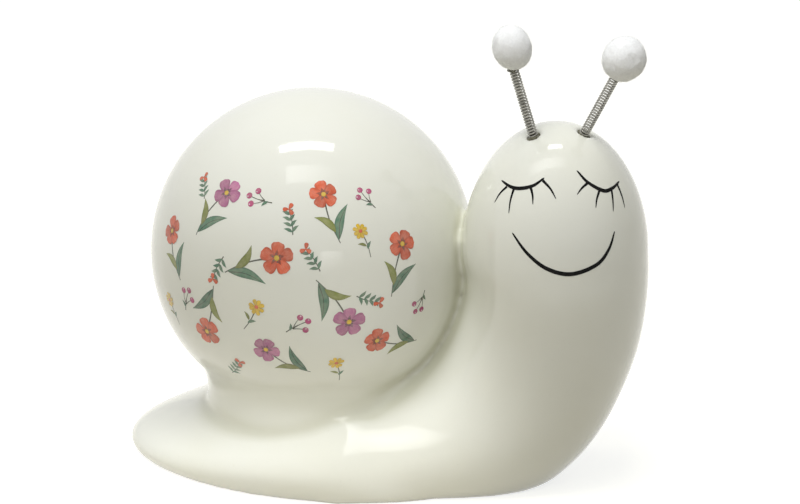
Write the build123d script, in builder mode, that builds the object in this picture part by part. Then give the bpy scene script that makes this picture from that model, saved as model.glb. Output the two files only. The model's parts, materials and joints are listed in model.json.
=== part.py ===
"""Snail figurine of glazed ceramic with two spring antennae that carry felted balls.

Millimetres, +Z up, +X from the tail to the head. The origin lies on the resting face under
the middle of the shell. Left and right are as seen by someone who faces the snail's face.
"""

import os
from math import cos, pi, radians, sin, sqrt, tan

from build123d import *

# Shell: a ball on a short upright collar that stands a little towards the head
SHELL_RADIUS = 60.5
SHELL_LIFT = 22.5
SHELL_HEIGHT = SHELL_RADIUS + SHELL_LIFT
COLLAR_X = 3.0
COLLAR_INSET = 17.0
COLLAR_RADIUS = SHELL_RADIUS - COLLAR_INSET
COLLAR_FILLET = 9.0

# Foot: a low mound of level ovals, each as height, shift to the head, half length and half width
FOOT_MIDDLE_X = 1.5
FOOT_HALF_LENGTH = 74.0
FOOT_HALF_WIDTH = 50.0
FOOT_HEIGHT = 33.0
FOOT_LEVEL_SHARES = (
    (0.0, 0.0, 0.985, 0.892),
    (0.15, 0.0, 1.0, 0.96),
    (0.30, 0.013, 0.92, 1.0),
    (0.61, 0.088, 0.73, 0.96),
    (1.0, 0.135, 0.46, 0.82),
)

# Neck: sections in planes that turn about the shell's cross axis, from straight down (0) to level
# with the shell's middle (90), each as angle, inner radius as a share of the shell's, and half depth
# and half width as shares of the head's radius
NECK_SECTION_SHARES = (
    (8.0, 0.85, 0.752, 1.309),
    (22.0, 0.75, 0.885, 1.300),
    (35.0, 0.75, 0.973, 1.168),
    (48.0, 0.86, 1.053, 0.991),
    (62.0, 0.935, 1.035, 0.893),
    (75.0, 0.97, 1.000, 0.916),
    (90.0, 0.985, 0.982, 1.000),
)

# Head: the upper half of an egg on the neck
HEAD_REACH = 31.8
HEAD_RISE = 7.0
HEAD_X = SHELL_RADIUS + HEAD_REACH
HEAD_HEIGHT = SHELL_HEIGHT + HEAD_RISE
HEAD_RADIUS = 34.2
DOME_HEIGHT = 49.6

# Casting
WALL = 4.5
BASE_VENT_DIAMETER = 9.0
BASE_VENT_X = 50.0
SHELL_VENT_DIAMETER = 7.0
LUTE_GAP = 0.2

# Antennae: holes in the head, placed from the way the face looks
FACE_TURN = 21.0
HOLE_SPREAD = 9.5
HOLE_FORWARD = 3.9
HOLE_DIAMETER = 5.4
LEFT_LEAN_ANGLE = -17.0
LEFT_NOD_ANGLE = 3.0
RIGHT_LEAN_ANGLE = 21.0
RIGHT_NOD_ANGLE = 21.0

# Springs
COIL_DIAMETER = 3.0
WIRE_DIAMETER = 0.6
COIL_TURNS = 30
FREE_LENGTH = 25.2
HEAD_SEAT = 3.6
BALL_SEAT = 5.0

# Balls, set on their springs a little to one side
LEFT_BALL_WIDTH = 14.0
LEFT_BALL_HEIGHT = 16.6
RIGHT_BALL_WIDTH = 15.6
RIGHT_BALL_HEIGHT = 17.2
LEFT_BALL_SHIFT = 1.7
RIGHT_BALL_SHIFT = -0.3
BALL_BORE_DIAMETER = 5.8

# Glue
GLUE_FLOOR = 1.4
GLUE_RISE = 0.4
SPRING_CLEARANCE = 0.25
GLUE_CLEARANCE = 0.05
OVERRUN = 5.0

SHELL_CENTRE = Vector(0, 0, SHELL_HEIGHT)
SPRING_LENGTH = HEAD_SEAT + FREE_LENGTH + BALL_SEAT
SPRING_BORE_RADIUS = COIL_DIAMETER / 2 + WIRE_DIAMETER / 2 + SPRING_CLEARANCE
HALF_TURN = pi


def outward(angle):
    """Direction from the shell's middle at an angle from straight down towards the head."""
    return Vector(sin(radians(angle)), 0, -cos(radians(angle)))


def body_form(grow, floor):
    """Foot, neck and head in one solid, its skin moved out by grow and cut off flat at floor."""
    levels = []
    for height_share, shift_share, length_share, width_share in FOOT_LEVEL_SHARES:
        middle = FOOT_MIDDLE_X + shift_share * FOOT_HALF_LENGTH
        level = Plane((middle, 0, height_share * (FOOT_HEIGHT + grow)))
        with BuildSketch(level) as mound:
            Ellipse(length_share * FOOT_HALF_LENGTH + grow, width_share * FOOT_HALF_WIDTH + grow)
        levels.append(mound.sketch)
    cuts = []
    for angle, inner_share, depth_share, width_share in NECK_SECTION_SHARES:
        middle = inner_share * SHELL_RADIUS + depth_share * HEAD_RADIUS
        seat = Plane(SHELL_CENTRE + outward(angle) * middle, x_dir=(0, 1, 0), z_dir=outward(angle + 90))
        cuts.append(oval(seat, width_share * HEAD_RADIUS + grow, depth_share * HEAD_RADIUS + grow))
    brow = Plane((HEAD_X, 0, HEAD_HEIGHT), x_dir=(0, 1, 0), z_dir=(0, 0, 1))
    cuts.append(oval(brow, HEAD_RADIUS + grow, HEAD_RADIUS + grow))
    with BuildPart() as form:
        loft(levels)
        loft(cuts)
        with BuildSketch(Plane((HEAD_X, 0, HEAD_HEIGHT), x_dir=(1, 0, 0), z_dir=(0, -1, 0))):
            with BuildLine():
                crown = EllipticalCenterArc((0, 0), HEAD_RADIUS + grow, DOME_HEIGHT + grow, 0, arc_size=90)
                Polyline(crown @ 1, (0, 0), crown @ 0)
            make_face()
        revolve(axis=Axis((HEAD_X, 0, 0), (0, 0, 1)))
        with Locations((FOOT_MIDDLE_X, 0, floor)):
            Box(
                4 * FOOT_HALF_LENGTH,
                4 * FOOT_HALF_WIDTH,
                2 * FOOT_HEIGHT,
                align=(Align.CENTER, Align.CENTER, Align.MAX),
                mode=Mode.SUBTRACT,
            )
    return form.part


def oval(plane, width, depth):
    """One section of the neck: an ellipse in two halves that start on the same side."""
    with BuildSketch(plane) as section:
        with BuildLine():
            for start in (0, 180):
                EllipticalCenterArc((0, 0), width, depth, start, arc_size=180)
        make_face()
    return section.sketch


def shell_form(grow):
    """Ball and collar in one solid, its skin moved out by grow; the collar runs on into the foot."""
    with BuildPart() as form:
        with BuildSketch():
            with Locations((COLLAR_X, 0)):
                Circle(COLLAR_RADIUS + grow)
        extrude(amount=SHELL_HEIGHT)
        with Locations(SHELL_CENTRE):
            Sphere(SHELL_RADIUS + grow)
        below_middle = edges().filter_by_position(Axis.Z, 0, SHELL_HEIGHT, inclusive=(False, False))
        waist = below_middle.sort_by(Axis.Z)[-1]
        fillet(waist, COLLAR_FILLET - grow)
    return form.part


def antenna_frame(side, lean, nod):
    """Plane at the mouth of an antenna hole on the head, its normal along the spring."""
    across = Vector(cos(radians(FACE_TURN)), sin(radians(FACE_TURN)), 0)
    ahead = Vector(sin(radians(FACE_TURN)), -cos(radians(FACE_TURN)), 0)
    rise = DOME_HEIGHT * sqrt(1 - (HOLE_SPREAD**2 + HOLE_FORWARD**2) / HEAD_RADIUS**2)
    foot = Vector(HEAD_X, 0, HEAD_HEIGHT + rise)
    mouth = foot + across * (side * HOLE_SPREAD) + ahead * HOLE_FORWARD
    along = Vector(0, 0, 1) + across * tan(radians(lean)) + ahead * tan(radians(nod))
    return Plane(mouth, x_dir=across - along * (across.dot(along) / along.dot(along)), z_dir=along)


def half_plane(frame):
    """Plane through an antenna's axis: x runs out from the axis and y along it."""
    return Plane(frame.origin, x_dir=frame.x_dir, z_dir=-frame.y_dir)


def spring_points(frame, turn):
    """Point and unit direction of the wire's middle line at an angle turned from its lower end."""
    radius = COIL_DIAMETER / 2
    slope = SPRING_LENGTH / (COIL_TURNS * 2 * pi)
    point = frame.from_local_coords(
        Vector(radius * cos(turn), radius * sin(turn), slope * turn - HEAD_SEAT)
    )
    heading = frame.y_dir * (radius * cos(turn)) - frame.x_dir * (radius * sin(turn)) + frame.z_dir * slope
    return point, heading.normalized()


def wire_path(frame):
    """The wire's middle line: a pair of arcs for each half turn and a straight stub at each end."""
    with BuildLine() as path:
        start, heading = spring_points(frame, 0)
        Line(start - heading * WIRE_DIAMETER, start)
        for step in range(2 * COIL_TURNS):
            end, leaving = spring_points(frame, (step + 1) * HALF_TURN)
            chord = end - start
            lean = heading.dot(leaving) - 1
            pull = chord.dot(heading + leaving)
            reach = (pull - sqrt(pull**2 - 2 * lean * chord.dot(chord))) / (2 * lean)
            first = start + heading * reach
            second = end - leaving * reach
            join = (first + second) / 2
            TangentArc(start, join, tangent=heading)
            TangentArc(join, end, tangent=second - first)
            start, heading = end, leaving
        Line(start, start + heading * WIRE_DIAMETER)
    return path.wire()


def least_gap(path):
    """Least gap between neighbouring turns of the wire, measured on points along its middle line."""
    count = COIL_TURNS * 24
    points = [path.position_at(step / count) for step in range(count + 1)]
    apart = count // COIL_TURNS // 2
    return min(
        (points[i] - points[j]).length
        for i in range(count + 1)
        for j in range(i + apart, min(i + 3 * apart, count + 1))
    ) - WIRE_DIAMETER


def spring_form(frame):
    """One antenna spring: a round wire swept along its path."""
    path = wire_path(frame)
    print("least gap between turns", round(least_gap(path), 3))
    with BuildPart() as form:
        with BuildSketch(Plane(path @ 0, z_dir=path % 0)):
            Circle(WIRE_DIAMETER / 2)
        sweep(path=path)
    return form.part


def ball_form(frame, width, height, shift):
    """One felted ball on the top of a spring, with a blind bore for the spring's end."""
    with BuildPart() as form:
        with BuildSketch(half_plane(frame)):
            with BuildLine():
                middle = (shift, FREE_LENGTH + height / 2)
                skin = EllipticalCenterArc(middle, width / 2, height / 2, -90, arc_size=180)
                Line(skin @ 1, skin @ 0)
            make_face()
        revolve(axis=Axis(frame.origin + frame.x_dir * shift, frame.z_dir))
        with Locations(frame):
            with Locations((0, 0, FREE_LENGTH - OVERRUN)):
                bore_depth = OVERRUN + BALL_SEAT + WIRE_DIAMETER + GLUE_FLOOR + GLUE_CLEARANCE
                Cylinder(
                    BALL_BORE_DIAMETER / 2,
                    bore_depth,
                    align=(Align.CENTER, Align.CENTER, Align.MIN),
                    mode=Mode.SUBTRACT,
                )
    return form.part


def glue_form(frame, radius, mouth, floor):
    """A cup of glue round one end of a spring, from its open mouth to its closed floor."""
    inward = Align.MIN if floor > mouth else Align.MAX
    depth = abs(floor - mouth)
    with BuildPart() as form:
        with BuildSketch(half_plane(frame)):
            with Locations((0, mouth)):
                Rectangle(radius, depth, align=(Align.MIN, inward))
                Rectangle(
                    SPRING_BORE_RADIUS,
                    depth - GLUE_FLOOR,
                    align=(Align.MIN, inward),
                    mode=Mode.SUBTRACT,
                )
        revolve(axis=Axis(frame.origin, frame.z_dir))
    return form.part


os.makedirs("parts", exist_ok=True)
left = antenna_frame(-1, LEFT_LEAN_ANGLE, LEFT_NOD_ANGLE)
right = antenna_frame(1, RIGHT_LEAN_ANGLE, RIGHT_NOD_ANGLE)

head_mouth = GLUE_RISE
head_floor = -HEAD_SEAT - WIRE_DIAMETER - GLUE_FLOOR
ball_mouth = FREE_LENGTH
ball_floor = FREE_LENGTH + BALL_SEAT + WIRE_DIAMETER + GLUE_FLOOR
head_glue_radius = HOLE_DIAMETER / 2 - GLUE_CLEARANCE
ball_glue_radius = BALL_BORE_DIAMETER / 2 - GLUE_CLEARANCE

with BuildPart() as body_casting:
    add(body_form(0, 0))
    add(body_form(-WALL, WALL), mode=Mode.SUBTRACT)
    with Locations(left, right):
        Cylinder(HOLE_DIAMETER / 2, 2 * (WALL + OVERRUN), mode=Mode.SUBTRACT)
    with Locations((BASE_VENT_X, 0, 0)):
        Cylinder(BASE_VENT_DIAMETER / 2, 2 * WALL + OVERRUN, mode=Mode.SUBTRACT)
    with Locations((0, 0, FOOT_HEIGHT)):
        Cylinder(SHELL_VENT_DIAMETER / 2, 2 * WALL + OVERRUN, mode=Mode.SUBTRACT)
body_casting.part.label = "body_casting"
export_step(body_casting.part, "parts/body_casting.step")

with BuildPart() as shell_casting:
    add(shell_form(0))
    add(shell_form(-WALL), mode=Mode.SUBTRACT)
    add(body_form(LUTE_GAP, -OVERRUN), mode=Mode.SUBTRACT)
shell_casting.part.label = "shell_casting"
export_step(shell_casting.part, "parts/shell_casting.step")

with BuildPart() as antenna_spring_left:
    add(spring_form(left))
antenna_spring_left.part.label = "antenna_spring_left"
export_step(antenna_spring_left.part, "parts/antenna_spring_left.step")

with BuildPart() as antenna_spring_right:
    add(spring_form(right))
antenna_spring_right.part.label = "antenna_spring_right"
export_step(antenna_spring_right.part, "parts/antenna_spring_right.step")

with BuildPart() as antenna_ball_left:
    add(ball_form(left, LEFT_BALL_WIDTH, LEFT_BALL_HEIGHT, LEFT_BALL_SHIFT))
antenna_ball_left.part.label = "antenna_ball_left"
export_step(antenna_ball_left.part, "parts/antenna_ball_left.step")

with BuildPart() as antenna_ball_right:
    add(ball_form(right, RIGHT_BALL_WIDTH, RIGHT_BALL_HEIGHT, RIGHT_BALL_SHIFT))
antenna_ball_right.part.label = "antenna_ball_right"
export_step(antenna_ball_right.part, "parts/antenna_ball_right.step")

with BuildPart() as head_glue_left:
    add(glue_form(left, head_glue_radius, head_mouth, head_floor))
head_glue_left.part.label = "head_glue_left"
export_step(head_glue_left.part, "parts/head_glue_left.step")

with BuildPart() as head_glue_right:
    add(glue_form(right, head_glue_radius, head_mouth, head_floor))
head_glue_right.part.label = "head_glue_right"
export_step(head_glue_right.part, "parts/head_glue_right.step")

with BuildPart() as ball_glue_left:
    add(glue_form(left, ball_glue_radius, ball_mouth, ball_floor))
ball_glue_left.part.label = "ball_glue_left"
export_step(ball_glue_left.part, "parts/ball_glue_left.step")

with BuildPart() as ball_glue_right:
    add(glue_form(right, ball_glue_radius, ball_mouth, ball_floor))
ball_glue_right.part.label = "ball_glue_right"
export_step(ball_glue_right.part, "parts/ball_glue_right.step")
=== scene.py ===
"""Looks of a glazed ceramic snail figurine with two spring antennae, dressed over its CAD frame.

Metres, +Z up, +X from the tail to the head. Left and right are as seen by someone who faces the
snail's face.
"""

import json
import math
import random

import bpy
import numpy as np
from bpy.props import FloatProperty, FloatVectorProperty, IntProperty, PointerProperty
from bpy.types import Operator, Panel, PropertyGroup
from mathutils import Matrix, Vector, noise
from mathutils.bvhtree import BVHTree

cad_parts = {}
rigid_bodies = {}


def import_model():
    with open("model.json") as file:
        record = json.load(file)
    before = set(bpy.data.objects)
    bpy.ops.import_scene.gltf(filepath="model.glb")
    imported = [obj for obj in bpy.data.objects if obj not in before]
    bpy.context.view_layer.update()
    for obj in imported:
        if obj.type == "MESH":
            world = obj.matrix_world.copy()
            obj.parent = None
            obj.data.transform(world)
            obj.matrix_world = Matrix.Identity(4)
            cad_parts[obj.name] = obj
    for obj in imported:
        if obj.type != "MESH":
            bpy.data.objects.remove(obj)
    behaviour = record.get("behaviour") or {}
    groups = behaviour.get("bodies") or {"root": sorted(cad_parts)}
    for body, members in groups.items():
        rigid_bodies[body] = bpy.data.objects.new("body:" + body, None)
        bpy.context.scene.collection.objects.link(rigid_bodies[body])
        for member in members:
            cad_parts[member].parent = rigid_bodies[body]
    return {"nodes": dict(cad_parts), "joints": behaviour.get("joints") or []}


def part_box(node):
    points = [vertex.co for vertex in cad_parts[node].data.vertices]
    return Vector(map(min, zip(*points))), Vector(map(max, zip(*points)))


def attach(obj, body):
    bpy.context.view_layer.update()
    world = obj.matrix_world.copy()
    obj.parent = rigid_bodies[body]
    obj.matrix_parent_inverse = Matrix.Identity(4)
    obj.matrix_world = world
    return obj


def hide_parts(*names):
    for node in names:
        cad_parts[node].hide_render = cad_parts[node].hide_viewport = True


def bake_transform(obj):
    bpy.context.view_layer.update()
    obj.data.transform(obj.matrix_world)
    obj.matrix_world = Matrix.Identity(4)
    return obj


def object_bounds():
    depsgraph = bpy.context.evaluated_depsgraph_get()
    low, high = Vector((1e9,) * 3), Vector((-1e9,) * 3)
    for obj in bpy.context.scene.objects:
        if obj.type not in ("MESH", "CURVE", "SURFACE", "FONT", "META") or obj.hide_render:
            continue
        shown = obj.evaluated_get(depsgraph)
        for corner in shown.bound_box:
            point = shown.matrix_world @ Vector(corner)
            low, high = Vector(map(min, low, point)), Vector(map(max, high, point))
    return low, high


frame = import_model()
CAD_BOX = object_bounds()

bl_info = {
    "name": "Snail figurine",
    "version": (1, 0, 0),
    "blender": (4, 5, 0),
    "location": "View3D > Sidebar > Snail",
    "description": "Dresses a ceramic snail with spring antennae over its CAD frame",
    "category": "Object",
}

MILLIMETRE = 0.001
MERGE_DISTANCE = 0.001 * MILLIMETRE
SIDES = ("left", "right")

# First seeds of the random draws
PRINT_SEED = 5
FELT_SEED = 11
GLUE_SEED = 31

# Vent under the foot, stopped a little way in
BASE_VENT_X = 50.0 * MILLIMETRE
BASE_VENT_RADIUS = 5.6 * MILLIMETRE
BASE_VENT_FLOOR = 2.2 * MILLIMETRE

# Stoppers of the antenna holes: radius and depth as shares of a hole's width
HOLE_PLUG_RADIUS = 0.7
HOLE_PLUG_DEPTH = 1.6

# Skin: passes that find the creases, and the pulls in and out that take short waves away
CREASE_PASSES = 60
FAIRING_PULLS = (0.5, -0.51)

# Side of the body below the neck, whose skin is evened out: how far ahead and how high it fades
FLANK_AHEAD = (16.0 * MILLIMETRE, 36.0 * MILLIMETRE)
FLANK_HEIGHT = (36.0 * MILLIMETRE, 56.0 * MILLIMETRE)
BEND_LEVELS = 20

# Picture that the camera and the painted face are laid out on, in pixels
PICTURE_SIZE = (800, 504)
SENSOR_WIDTH = 36.0

# Painted face: each stroke as the pixels that it runs through
LEFT_LID = ((501.6, 180.4), (510.5, 186.6), (520.4, 188.4), (533.5, 185.5), (544.5, 177.7))
LEFT_LASHES = (
    ((507.0, 186.6), (500.0, 193.5), (494.5, 202.7)),
    ((514.0, 188.6), (510.6, 200.0), (508.8, 213.4)),
    ((530.7, 187.0), (532.6, 195.5), (532.9, 204.5)),
    ((542.7, 180.3), (550.5, 189.0), (556.1, 199.1)),
)
RIGHT_LID = ((576.6, 170.5), (588.0, 182.5), (603.4, 190.7), (612.5, 188.0), (619.1, 181.3))
RIGHT_LASHES = (
    ((587.9, 182.9), (582.0, 188.0), (577.1, 194.6)),
    ((599.5, 190.0), (596.8, 199.0), (595.7, 208.0)),
    ((611.4, 189.8), (612.8, 200.5), (613.2, 211.6)),
    ((617.1, 184.2), (621.8, 196.0), (624.8, 208.0)),
)
SMILE = (
    (512.3, 232.7),
    (527.5, 253.6),
    (547.1, 268.8),
    (571.3, 274.1),
    (597.1, 264.3),
    (608.8, 249.1),
    (614.5, 231.3),
)

# Points along each kind of brush stroke
LID_POINTS = 40
LASH_POINTS = 24
SMILE_POINTS = 90

# Print: each motif as its kind, the way it lies from the camera and above the shell's middle in
# degrees, its tilt in degrees and its size
PRINT_MOTIFS = (
    ("blossom", -57, 12, 25, 1.15),
    ("mauve_blossom", -40, 31, -30, 1.20),
    ("blossom", -37, -9, 160, 1.25),
    ("blossom", -17, 15, -75, 1.30),
    ("mauve_blossom", -11, -21, 50, 1.15),
    ("blossom", 8, 33, 10, 1.15),
    ("mauve_blossom", 11, -1, -150, 1.25),
    ("blossom", 33, 13, -25, 1.20),
    ("blossom", 30, -17, 70, 1.15),
    ("daisy", -58, -11, 25, 1.05),
    ("daisy", -19, -4, -25, 1.15),
    ("daisy", 21, 22, 20, 1.05),
    ("daisy", 11, -26, 15, 1.05),
    ("berries", -47, -4, -20, 1.10),
    ("berries", -21, 36, 80, 1.10),
    ("berries", -3, -7, -60, 1.10),
    ("berries", 25, 36, 30, 1.00),
    ("berries", 41, -4, 150, 1.00),
    ("twig", -51, 36, 40, 1.05),
    ("twig", -33, 9, 160, 1.15),
    ("twig", -30, -28, -35, 1.10),
    ("twig", -7, 30, 15, 1.10),
    ("twig", 1, 17, 35, 1.10),
    ("twig", 22, 1, -110, 1.10),
)

# Antenna joints stand at these shares of the spring's free length, and each bends this share of it
SWAY_SHARE = 0.15
NOD_SHARE = 0.55

# Wire of the springs: corners round it and steps in a turn
WIRE_CORNERS = 10
TURN_STEPS = 24

# Uneven surfaces, as shares of the radius: waves of a height and a fineness, and the mean surface
FELT_LUMPS = ((0.012, 3.0), (0.007, 9.0), (0.004, 30.0))
FELT_SINK = 0.01
GLUE_LUMPS = ((0.22, 2.2), (0.06, 7.0))
GLUE_FILL = 0.92

# Lamps: the way to each as shares of the picture's right, up and back, how far off it hangs in
# metres, and the width and height of a panel
SOFTBOX = ((-0.08, 0.96, 0.25), 0.9, (0.48, 0.11))
FRONT_PANEL = ((-0.15, 0.76, 0.60), 1.1, (0.65, 0.50))
FOOT_LIGHT_WAY = (-0.35, 0.30, 0.88)
FOOT_LIGHT_DISTANCE = 0.9
FOOT_LIGHT_SQUASH = 0.36
FOOT_WINDOW = ((0.03, 0.185, 0.98), 0.12, (0.03, 0.09))
BROW_WINDOW = ((-0.22, 0.775, 0.59), 0.20, (0.20, 0.05))


def length_setting(name, description, millimetres):
    default = millimetres * MILLIMETRE
    return FloatProperty(name=name, description=description, default=default, unit="LENGTH")


def colour_setting(name, description, colour):
    return FloatVectorProperty(
        name=name, description=description, default=colour, subtype="COLOR", min=0.0, max=1.0
    )


def number_setting(name, description, number):
    return IntProperty(name=name, description=description, default=number, min=1)


def angle_setting(name, description, degrees):
    default = math.radians(degrees)
    return FloatProperty(name=name, description=description, default=default, subtype="ANGLE")


def point_setting(name, description, millimetres):
    default = tuple(value * MILLIMETRE for value in millimetres)
    return FloatVectorProperty(name=name, description=description, default=default, subtype="XYZ")


def power_setting(name, description, watts):
    return FloatProperty(name=name, description=description, default=watts, unit="POWER")


def share_setting(name, description, share):
    return FloatProperty(name=name, description=description, default=share, subtype="FACTOR")


class CeramicSettings(PropertyGroup):
    grid: length_setting("Skin grid", "Edge of the grid that the glazed skin is drawn on", 1.15)
    softening: number_setting("Softening", "How often the glaze is evened out over the creases", 9)
    bend_softening: number_setting(
        "Bend softening", "How often the bends away from the seam are evened out", 180
    )
    fairing: number_setting("Fairing", "How often short waves are taken out of the skin", 150)
    bend_depth: length_setting("Bend depth", "Depth of a bend that is evened out fully", 0.15)
    seam_margin: length_setting("Seam margin", "Width by the seam and the holes that stays", 5.0)
    plug_depth: length_setting("Hole depth", "Depth of the antenna holes that show", 3.4)
    # Crease depth: depth at which the crease colour, pooled glaze and painted shade, is at its full
    # share
    crease_depth: length_setting("Crease depth", "Depth of a crease that the glaze fills", 0.7)
    glaze: colour_setting("Glaze", "Milk white of the glaze", (0.79, 0.797, 0.72))
    warm: colour_setting("Warm glaze", "Thinner, warmer glaze", (0.77, 0.772, 0.675))
    # Grey-green of the creases, pooled glaze and painted shade; it also tints the pinholes
    pooled_glaze_and_crease_shade: colour_setting("Pooled glaze", "Grey-green where the glaze pools", (0.60, 0.60, 0.48))
    biscuit: colour_setting("Biscuit", "Bare clay of the resting face", (0.72, 0.66, 0.56))


class FaceSettings(PropertyGroup):
    paint: colour_setting("Paint", "Black enamel of the face", (0.006, 0.006, 0.006))
    lid_width: length_setting("Lid width", "Widest part of an eyelid", 1.38)
    lash_width: length_setting("Lash width", "Widest part of a lash", 1.0)
    smile_width: length_setting("Smile width", "Widest part of the smile", 1.55)
    lift: length_setting("Paint lift", "How far paint stands on the glaze", 0.06)


class PrintSettings(PropertyGroup):
    scarlet: colour_setting("Scarlet", "Orange-red blossoms", (0.72, 0.10, 0.025))
    mauve: colour_setting("Mauve", "Mauve-pink blossoms", (0.52, 0.17, 0.33))
    magenta: colour_setting("Magenta", "Small berries", (0.50, 0.05, 0.19))
    yellow: colour_setting("Yellow", "Small blossoms and flower middles", (0.86, 0.57, 0.02))
    leaf: colour_setting("Leaf", "Grey-green leaves", (0.09, 0.22, 0.13))
    olive: colour_setting("Olive", "Young olive leaves", (0.23, 0.27, 0.05))
    sprig: colour_setting("Sprig", "Dark stems and sprigs", (0.055, 0.075, 0.05))
    layer: length_setting("Layer", "Thickness of one layer of print", 0.008)


class AntennaSettings(PropertyGroup):
    wire: length_setting("Wire", "Diameter of the wire", 0.66)
    coil: length_setting("Coil", "Diameter of the coil at the wire's middle", 3.0)
    turns: number_setting("Turns", "Turns of wire in a spring", 30)
    lower_turns: number_setting("Lower turns", "Turns below the bend of the ball", 12)
    steel: colour_setting("Steel", "Colour of the wire", (0.40, 0.39, 0.35))
    felt: colour_setting("Felt", "White of the felted balls", (0.96, 0.97, 0.97))
    flats: number_setting("Flats", "Faint flats on a ball", 18)
    fibres: number_setting("Fibres", "Loose fibres on a ball", 1800)
    fibre_length: length_setting("Fibre length", "Length of a loose fibre", 1.3)
    fibre_root: length_setting("Fibre root", "Radius of a fibre where it leaves the ball", 0.028)
    fibre_tip: length_setting("Fibre tip", "Radius of a fibre at its free end", 0.010)
    glue: colour_setting("Glue", "Brown-grey glue round the springs", (0.075, 0.07, 0.04))


class StageSettings(PropertyGroup):
    azimuth: angle_setting("Azimuth", "Turn of the camera from -Y", 15.0)
    elevation: angle_setting("Elevation", "Height of the camera", 20.0)
    distance: length_setting("Distance", "From the camera to the point it looks at", 1000.0)
    lens: FloatProperty(name="Lens", description="Focal length", default=120.0, unit="CAMERA")
    aim: point_setting("Aim", "Point that the camera looks at", (31.58, 8.2, 81.8))
    floor: colour_setting("Floor", "Pale floor and backdrop", (0.54, 0.51, 0.42))
    floor_size: length_setting("Floor size", "Side of the square floor", 6000.0)
    softbox_power: power_setting("Softbox", "Watts of the overhead softbox", 1.3)
    panel_power: power_setting("Panel", "Watts of the large panel in front", 7.2)
    foot_power: power_setting("Foot light", "Watts of the low light on the foot", 15.5)
    foot_aim: point_setting("Foot aim", "Point that the foot light looks at", (-12.0, -40.0, 12.0))
    foot_cone: angle_setting("Foot cone", "Widest angle of the foot light", 15.0)
    foot_bulb: length_setting("Foot bulb", "Radius of the foot light's bulb", 25.0)
    glint_power: power_setting("Glint", "Watts of the small window that shines in the foot", 0.0034)
    glint_aim: point_setting("Glint aim", "What the foot's window looks at", (36.7, -39.1, 25.8))
    brow_power: power_setting("Brow", "Watts of the small window that shines in the brow", 0.007)
    brow_aim: point_setting("Brow aim", "What the brow's window looks at", (92.0, -15.0, 130.0))
    window_spread: angle_setting("Window spread", "Widest angle of a window's light", 60.0)
    world: share_setting("World", "Strength of the light all round", 0.33)
    glow: share_setting("Floor glow", "How much the floor is lifted to white", 0.76)


class Value:
    """A socket of a node tree; sums, differences and products of it add Math nodes."""

    def __init__(self, nodes, socket):
        self.nodes = nodes
        self.socket = socket

    def math(self, operation, first, second, clamp=False):
        settings = {"operation": operation, "use_clamp": clamp}
        return self.nodes.node("ShaderNodeMath", settings, {0: first, 1: second})

    def __add__(self, other):
        return self.math("ADD", self, other)

    def __radd__(self, other):
        return self.math("ADD", other, self)

    def __sub__(self, other):
        return self.math("SUBTRACT", self, other)

    def __rsub__(self, other):
        return self.math("SUBTRACT", other, self)

    def __mul__(self, other):
        return self.math("MULTIPLY", self, other)

    def __rmul__(self, other):
        return self.math("MULTIPLY", other, self)

    def clamped(self):
        return self.math("ADD", self, 0.0, clamp=True)


class Nodes:
    """Adds nodes to the tree of a material or a world."""

    def __init__(self, tree):
        self.tree = tree

    def node(self, kind, settings=None, inputs=None, output=0):
        made = self.tree.nodes.new(kind)
        for key, value in (settings or {}).items():
            if key == "stops":
                ramp = made.color_ramp
                for element, (position, colour) in zip(ramp.elements, value):
                    element.position = position
                    element.color = colour
            else:
                setattr(made, key, value)
        for key, value in (inputs or {}).items():
            self.feed(made.inputs[key], value)
        return Value(self, made.outputs[output])

    def feed(self, socket, value):
        if isinstance(value, Value):
            self.tree.links.new(value.socket, socket)
        else:
            socket.default_value = value

    def background_rays(self):
        """1 for rays that meet the background straight, in a gloss or through glass, or else 0."""
        kinds = ("Is Camera Ray", "Is Glossy Ray", "Is Transmission Ray")
        rays = [self.node("ShaderNodeLightPath", output=kind) for kind in kinds]
        return (rays[0] + rays[1] + rays[2]).clamped()


class Finish(Nodes):
    """One material and the nodes that its shader reads."""

    def __init__(self, name, **fixed):
        self.material = bpy.data.materials.new(name)
        self.material.use_nodes = True
        super().__init__(self.material.node_tree)
        self.shader = self.tree.nodes["Principled BSDF"]
        for socket, value in fixed.items():
            self.shader.inputs[socket.replace("_", " ")].default_value = value
        self.place = self.node("ShaderNodeTexCoord", output="Object")

    def set(self, **inputs):
        for socket, value in inputs.items():
            self.feed(self.shader.inputs[socket.replace("_", " ")], value)

    def noise(self, scale, detail=2.0, vector=None):
        inputs = {"Vector": vector or self.place, "Scale": scale, "Detail": detail}
        return self.node("ShaderNodeTexNoise", None, inputs, output="Fac")

    def mix(self, factor, first, second):
        settings = {"data_type": "RGBA"}
        inputs = {"Factor": factor, 6: opaque(first), 7: opaque(second)}
        return self.node("ShaderNodeMix", settings, inputs, output=2)

    def band(self, value, low, high):
        """0 below low, 1 above high and a straight rise between."""
        inputs = {"Value": value, "From Min": low, "From Max": high}
        return self.node("ShaderNodeMapRange", {"clamp": True}, inputs)

    def attribute(self, name, output="Fac"):
        return self.node("ShaderNodeAttribute", {"attribute_name": name}, None, output)

    def bump(self, height, strength, distance):
        inputs = {"Strength": strength, "Distance": distance, "Height": height}
        self.feed(self.shader.inputs["Normal"], self.node("ShaderNodeBump", None, inputs))


def opaque(colour):
    """A colour with full alpha, or a socket as it is."""
    if isinstance(colour, Value):
        return colour
    return (*colour, 1.0)


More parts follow.
